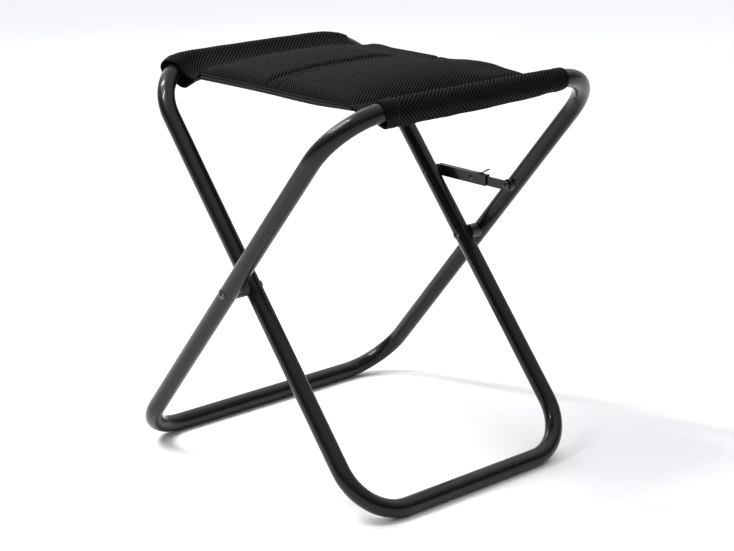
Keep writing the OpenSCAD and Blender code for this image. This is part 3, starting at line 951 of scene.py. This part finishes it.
# Binding section as (distance outward from the edge, share of height): two rolls
# with a recess between them, then under the edge and back inside
BINDING_FACE = [
    (-2.2, 1.0), (-1.9, 0.93), (-1.2, 0.85), (0.2, 0.78), (1.1, 0.71), (0.9, 0.62), (-0.2, 0.55),
    (-0.7, 0.51), (0.2, 0.46), (1.2, 0.37), (1.5, 0.26), (1.4, 0.12), (0.7, 0.01), (-0.3, -0.05),
]
BINDING_BACK = [(-8.5, -0.05), (-8.9, 0.0), (-8.5, 0.04), (-3.0, 0.05), (-2.7, 0.15), (-2.7, 0.9)]

# How far the near binding's lower edge is above BAND_LOW, by distance from the centre seam
BAND_RISE = {
    1: ((0, 35, 70, 108, 126), (0, -0.5, -0.5, 1.3, 2.1)),
    -1: ((0, 40, 103, 126), (0, 0, -0.6, -0.9)),
}

# Where the binding's stitches run, as a share of its height, and the height, pitch and shift
# by side of its two sets of puckers
BAND_STITCH = 0.54
BAND_PUCKERS = ((0.18, 13, 1), (0.12, 5.7, 0))


def band_low(side, way, x):
    """Lower edge of the front or rear binding, above the floor."""
    return BAND_LOW + (np.interp(x, *BAND_RISE[side]) if way < 0 else np.zeros_like(x))


def make_binding(name, side, way, end):
    """Cloth folded over a panel's front or rear edge in two rolls, puckered by its stitches."""
    rings = []
    for x in np.linspace(0.2, SEAM_X + 0.2, 60):
        low = float(band_low(side, way, x))
        pucker = sum(high * math.sin(2 * math.pi * x / pitch + shift * side)
                     for high, pitch, shift in BAND_PUCKERS)
        ring = []
        for out, share in BINDING_FACE + BINDING_BACK:
            y = way * (HALF_Y + out + (pucker if out > 0 else 0))
            ring.append((side * x, y, low + (BAND_TOP - low) * share + 0.25 * pucker))
        rings.append(ring)
    return add_tube(f"binding_{end}_{name}_cloth", np.array(rings), PIPING, flip=side * way < 0)


def binding_threads(name, side, way, end):
    """The stitches that hold a binding, in the recess between its two rolls."""
    xs = np.linspace(2, SEAM_X - 2, 60)
    y = np.full_like(xs, way * (HALF_Y - 0.5))
    low = band_low(side, way, xs)
    path = np.stack([side * xs, y, low + (BAND_TOP - low) * BAND_STITCH], 1)
    face = np.tile([0.0, way, 0.0], (len(xs), 1))
    return add_stitches(f"binding_thread_{end}_{name}", [path], [face], THREAD)


# Tape section: places from the centre seam and half thicknesses. Then how far it lies below
# the lining's underside, and the height and pitch of its waves.
TAPE_X = np.array([-6.0, -5.6, -3, 0, 3, 5.6, 6.0])
TAPE_HALF_T = np.array([0.1, 0.3, 0.35, 0.35, 0.35, 0.3, 0.1])
TAPE_BELOW = 0.45
TAPE_WAVE = 0.12
TAPE_PITCH = 19


def make_tape():
    """Tape sewn under the centre seam."""
    ys = np.linspace(-HALF_Y + 1.0, HALF_Y - 1.0, 90)
    x, y = np.meshgrid(TAPE_X, ys, indexing="ij")
    z = UNDER_Z - TAPE_BELOW + TAPE_WAVE * np.sin(2 * math.pi * y / TAPE_PITCH)
    bottom = np.stack([x, y, z - TAPE_HALF_T[:, None]], -1)
    top = np.stack([x, y, z + TAPE_HALF_T[:, None]], -1)
    uv = np.stack([x, y], -1) * MM
    return add_shell("centre_tape_cloth", bottom, top, CLOTH, uv, flip=True)


# -------------------------------------------------------------- build the seat

# The stitches beside the centre seam stop this many of the pad's columns from its ends
THREAD_END = 14


def go_with_seat(piece, name):
    """Rides on the seat's half, with a mesh of its own."""
    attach(piece, SEAT_BODY[name])
    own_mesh(piece)


def make_panel(name, side):
    """One half of the seat: pad, stitches, lining, bindings and, on the right, the tape."""
    pad, pad_top = make_pad(name, side)
    go_with_seat(pad, name)
    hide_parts("seat_cover_" + name, "seat_foam_" + name)

    row = int(np.argmin(np.abs(np.abs(pad_top[:, 0, 0]) - SEAM_LINE_X)))
    seam = pad_top[row, THREAD_END:-THREAD_END] + [0, 0, 0.1]
    above = np.tile([0.0, 0.0, 1.0], (len(seam), 1))
    go_with_seat(add_stitches("centre_thread_" + name, [seam], [above], THREAD), name)

    lining = make_lining(name, side)
    go_with_seat(lining, name)
    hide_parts("seat_lining_" + name)
    trim = []
    for way, end in ((-1, "front"), (1, "rear")):
        band = make_binding(name, side, way, end)
        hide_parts(f"binding_{end}_{name}")
        trim += [band, binding_threads(name, side, way, end)]
    if side > 0:
        tape = make_tape()
        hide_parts("centre_seam_tape")
        trim.append(tape)
    for piece in trim:
        go_with_seat(piece, name)


def dress_rail(name, side):
    """The sleeve round one rail, with its hems."""
    sleeve = make_sleeve(name, side)
    hems = make_hems(name, side)
    for piece in [sleeve] + hems:
        bend_with(piece)
    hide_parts("rail_sleeve_" + name)
    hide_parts("sleeve_hems_" + name)
    if side < 0:
        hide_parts("rail_sleeve_left", "sleeve_corners_left")


FINISH = {
    "black_powder_coat": POWDER,
    "bare_steel": STEEL,
    "black_rivet": RIVET,
    "black_plastic": PLASTIC,
    "spacer_mesh": KNIT[1],
    "plain_cloth": CLOTH,
    "foam": CLOTH,
}


def finish_frame():
    """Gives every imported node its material, those that the fabric replaces among them."""
    for part in frame["record"]["subparts"]:
        node = bpy.data.objects[part["node"]]
        finish = FINISH[part["material_slot"]]
        if node.material_slots:
            for used in node.material_slots:
                used.material = finish
        else:
            node.data.materials.append(finish)


# --------------------------------------------------- floor, camera and lights

FLOOR_HALF = 60000
FLOOR_STEPS = 40
FLOOR_Z = -0.05


def make_floor():
    """A wide pale floor just under the stool."""
    line = np.linspace(-FLOOR_HALF, FLOOR_HALF, FLOOR_STEPS)
    x, y = np.meshgrid(line, line, indexing="ij")
    flat = np.stack([x, y, np.full_like(x, FLOOR_Z)], -1).reshape(-1, 3)
    faces = grid_faces(FLOOR_STEPS, FLOOR_STEPS, flip=True)
    add_mesh("floor", flat, faces, pale_floor())


CAM_AZIMUTH = math.radians(48.301)
CAM_ELEVATION = math.radians(16.935)
CAM_ROLL = math.radians(-0.2166)
CAM_DISTANCE = 2.0723
CAM_TARGET = Vector((-0.020007, 0.024434, 0.195559))
CAM_LENS = 87.98


def make_camera():
    """The camera, aimed at CAM_TARGET from the near right and rolled a little."""
    flat_x, flat_y = math.sin(CAM_AZIMUTH), -math.cos(CAM_AZIMUTH)
    level = math.cos(CAM_ELEVATION)
    back = Vector((flat_x * level, flat_y * level, math.sin(CAM_ELEVATION)))
    right = (-back).cross(Vector((0, 0, 1))).normalized()
    up = right.cross(-back)
    tilted_right = right * math.cos(CAM_ROLL) + up * math.sin(CAM_ROLL)
    tilted_up = up * math.cos(CAM_ROLL) - right * math.sin(CAM_ROLL)
    data = bpy.data.cameras.new("camera")
    data.lens = CAM_LENS
    data.sensor_width = 36
    data.clip_end = 100
    camera = bpy.data.objects.new("camera", data)
    turn = Matrix((tilted_right, tilted_up, back)).transposed().to_4x4()
    camera.matrix_world = Matrix.Translation(CAM_TARGET + back * CAM_DISTANCE) @ turn
    bpy.context.scene.collection.objects.link(camera)
    bpy.context.scene.camera = camera


def add_softbox(name, place, size, power, aim):
    """A rectangular area light at place that faces aim."""
    data = bpy.data.lights.new(name, "AREA")
    data.shape = "RECTANGLE"
    data.size, data.size_y = size
    data.energy = power
    lamp = bpy.data.objects.new(name, data)
    lamp.location = Vector(place)
    lamp.rotation_euler = (Vector(aim) - lamp.location).to_track_quat("-Z", "Y").to_euler()
    bpy.context.scene.collection.objects.link(lamp)


def make_room():
    """A bright ceiling, a glow behind the stool and a dim room on the camera's side."""
    world = bpy.data.worlds.new("studio")
    world.use_nodes = True
    tree = world.node_tree
    add, link = tree.nodes.new, tree.links.new
    back = tree.nodes["Background"]
    place = add("ShaderNodeTexCoord")
    split = add("ShaderNodeSeparateXYZ")
    ceiling = add("ShaderNodeValToRGB")
    link(place.outputs["Generated"], split.inputs[0])
    link(split.outputs["Z"], ceiling.inputs["Fac"])
    low, high = ceiling.color_ramp.elements
    low.position, high.position = 0.3, 0.85
    low.color = (0.03, 0.03, 0.032, 1)
    high.color = (1.0, 1.02, 1.06, 1)
    facing = add("ShaderNodeVectorMath")
    facing.operation = "DOT_PRODUCT"
    facing.inputs[1].default_value = (-math.sin(CAM_AZIMUTH), math.cos(CAM_AZIMUTH), 0.25)
    link(place.outputs["Generated"], facing.inputs[0])
    glow = add("ShaderNodeMapRange")
    glow.inputs["From Min"].default_value = 0.1
    glow.inputs["From Max"].default_value = 0.8
    glow.inputs["To Max"].default_value = 0.55
    link(facing.outputs["Value"], glow.inputs["Value"])
    total = add("ShaderNodeMix")
    total.data_type = "RGBA"
    total.blend_type = "ADD"
    total.inputs[0].default_value = 1
    link(ceiling.outputs["Color"], total.inputs[6])
    link(glow.outputs["Result"], total.inputs[7])
    # what the camera itself sees above the floor is plain and pale
    seen = add("ShaderNodeLightPath")
    choose = add("ShaderNodeMix")
    choose.data_type = "RGBA"
    link(seen.outputs["Is Camera Ray"], choose.inputs[0])
    link(total.outputs[2], choose.inputs[6])
    choose.inputs[7].default_value = (0.93, 0.94, 0.95, 1)
    link(choose.outputs[2], back.inputs["Color"])
    back.inputs["Strength"].default_value = 1.12
    bpy.context.scene.world = world


def make_lights():
    """A wide softbox on the left, and two narrow strips above that light the near bends."""
    add_softbox("key_left", (-2.3, 0.5, 1.6), size=(1.3, 1.1), power=12, aim=(0, 0, 0.4))
    for name, place in (("strip_a", (-0.42, -1.05, 2.0)), ("strip_b", (-0.94, -0.66, 1.88))):
        add_softbox(name, place, size=(0.09, 0.9), power=24, aim=(0.15, -0.18, 0.41))


for side_name, side_sign in SIDES.items():
    make_panel(side_name, side_sign)
    dress_rail(side_name, side_sign)
finish_frame()
make_floor()
make_camera()
make_room()
make_lights()
bpy.context.scene.view_settings.view_transform = "Standard"
